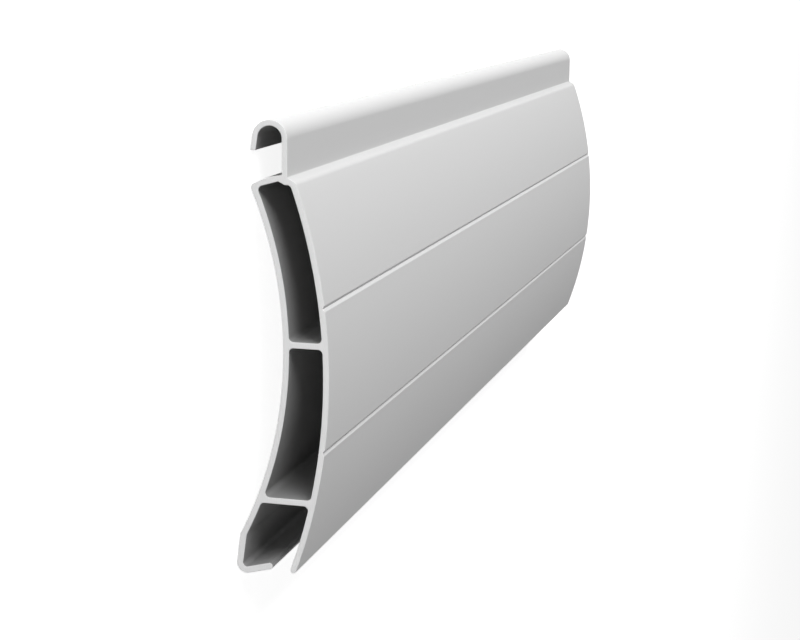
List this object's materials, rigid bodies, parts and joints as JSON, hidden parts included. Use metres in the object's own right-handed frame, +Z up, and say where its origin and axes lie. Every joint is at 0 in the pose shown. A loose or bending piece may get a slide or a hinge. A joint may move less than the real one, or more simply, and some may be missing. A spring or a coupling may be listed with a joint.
{
  "type": "roller shutter slat",
  "caption": "Hollow curved aluminium slat of a roller shutter, with a rolled hook along one edge and a lipped pocket along the other, so that like slats hinge together.",
  "frame": {"origin": "middle of the floor area that the lying slat covers, at floor level", "axes": "+X along the slat, +Y from the foot to the hook, +Z up, out of the convex front face"},
  "size_m": [0.3, 0.0886, 0.0174],
  "materials": {
    "coated_aluminium": "satin light grey powder coat outside, sawn bare metal at the ends"
  },
  "bodies": {
    "root": {"slat": "coated_aluminium"}
  },
  "joints": []
}
